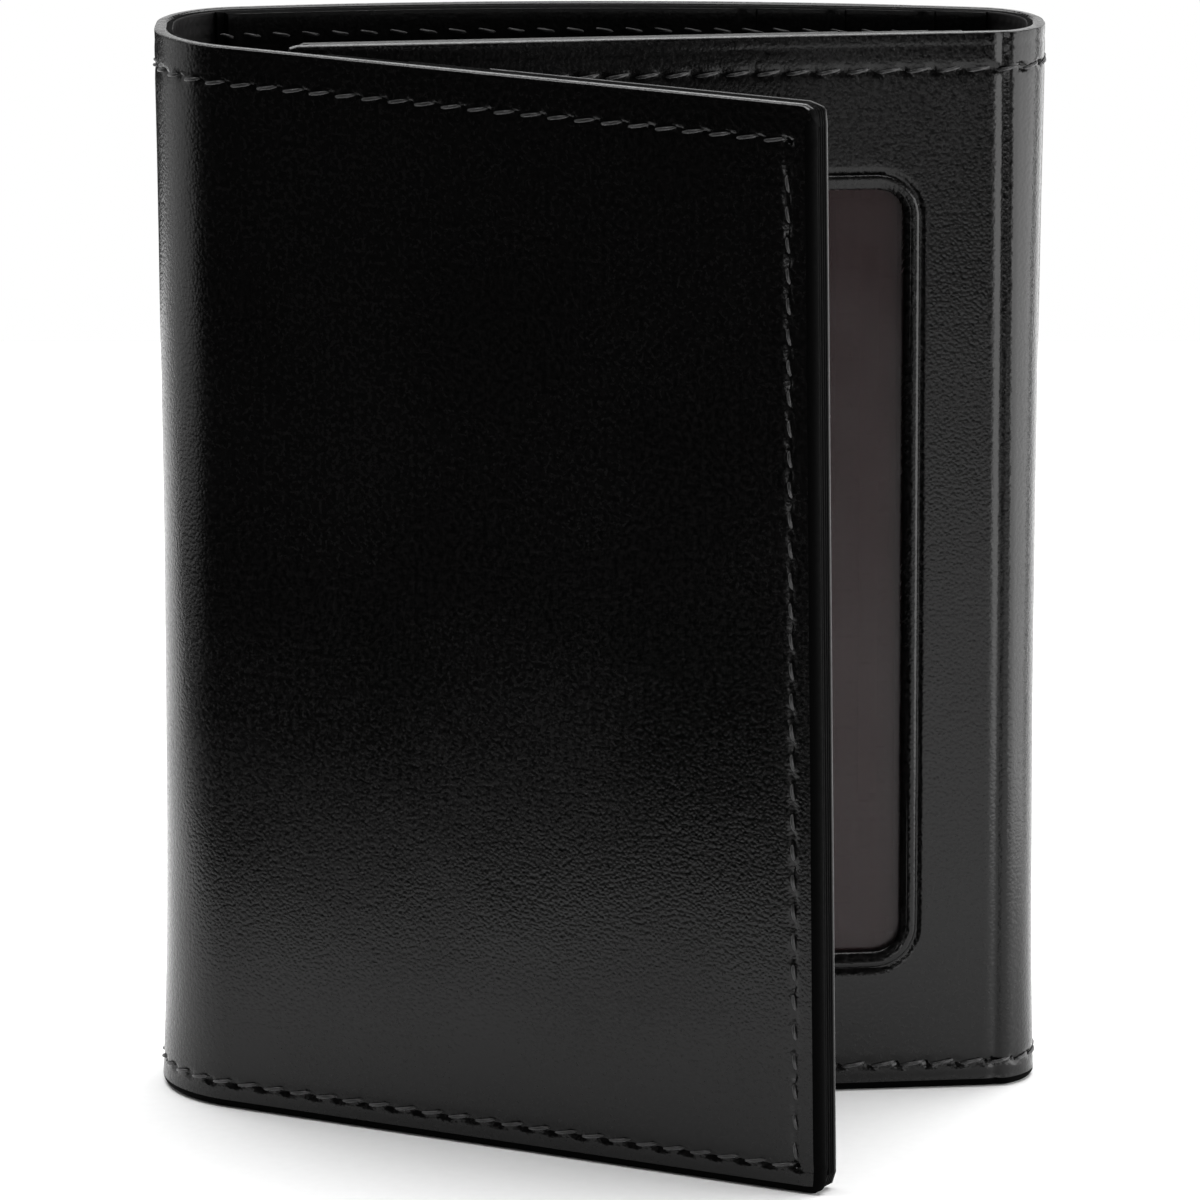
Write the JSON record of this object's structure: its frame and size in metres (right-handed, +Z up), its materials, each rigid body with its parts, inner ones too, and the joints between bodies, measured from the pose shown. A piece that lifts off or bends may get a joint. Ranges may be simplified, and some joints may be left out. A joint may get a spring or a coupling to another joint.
{
  "type": "trifold wallet",
  "caption": "Upright leather trifold wallet, outer flap half open over an inner flap with a clear ID window, with stepped card slots and two folding spines.",
  "frame": {"origin": "middle of the wallet's footprint, on the surface that it stands on", "axes": "+Z up along the folds, +Y towards the back panel, +X towards the right-hand fold; the outer flap opens towards -Y"},
  "size_m": [0.0887, 0.0588, 0.108],
  "materials": {
    "outer_leather": "glossy smooth black leather",
    "lining": "matt woven lining",
    "pocket_leather": "satin smooth black leather",
    "clear_window": "clear flexible film",
    "thread": "waxed black thread"
  },
  "bodies": {
    "back_panel": {"back_shell": "outer_leather", "back_lining": "lining", "back_pocket_base": "pocket_leather", "back_card_slot_1": "pocket_leather", "back_card_slot_2": "pocket_leather", "back_card_slot_3": "pocket_leather", "back_stitches": "thread"},
    "left_spine": {"left_spine_shell": "outer_leather", "left_spine_lining": "lining", "left_spine_stitches": "thread"},
    "outer_flap": {"outer_flap_shell": "outer_leather", "outer_flap_lining": "lining", "outer_pocket_base": "pocket_leather", "outer_card_slot_1": "pocket_leather", "outer_card_slot_2": "pocket_leather", "outer_card_slot_3": "pocket_leather", "outer_flap_stitches": "thread"},
    "right_spine": {"right_spine_shell": "outer_leather", "right_spine_lining": "lining", "right_spine_stitches": "thread"},
    "inner_flap": {"inner_flap_shell": "outer_leather", "id_window": "clear_window", "id_pocket_backing": "lining", "inner_pocket_base": "pocket_leather", "inner_card_slot_1": "pocket_leather", "inner_card_slot_2": "pocket_leather", "inner_flap_stitches": "thread"}
  },
  "joints": [
    {"name": "left_rear_crease", "type": "hinge", "parent": "back_panel", "child": "left_spine", "pos_m": [-0.04298, 0.02331, 0.054], "axis": [0, 0, -1], "range_deg": [-13, 75.6]},
    {"name": "left_front_crease", "type": "hinge", "parent": "left_spine", "child": "outer_flap", "pos_m": [-0.04298, 0.00711, 0.054], "axis": [0, 0, -1], "range_deg": [-13, 75.6]},
    {"name": "right_rear_crease", "type": "hinge", "parent": "back_panel", "child": "right_spine", "pos_m": [0.04302, 0.02331, 0.054], "axis": [0, 0, 1], "range_deg": [-3.9, 22.68]},
    {"name": "right_front_crease", "type": "hinge", "parent": "right_spine", "child": "inner_flap", "pos_m": [0.04062, 0.01222, 0.054], "axis": [0, 0, 1], "range_deg": [-3.9, 22.68]}
  ],
  "couplings": [
    {"joint": "left_front_crease", "follows": "left_rear_crease", "ratio": 1},
    {"joint": "right_rear_crease", "follows": "left_rear_crease", "ratio": 0.3},
    {"joint": "right_front_crease", "follows": "left_rear_crease", "ratio": 0.3}
  ]
}
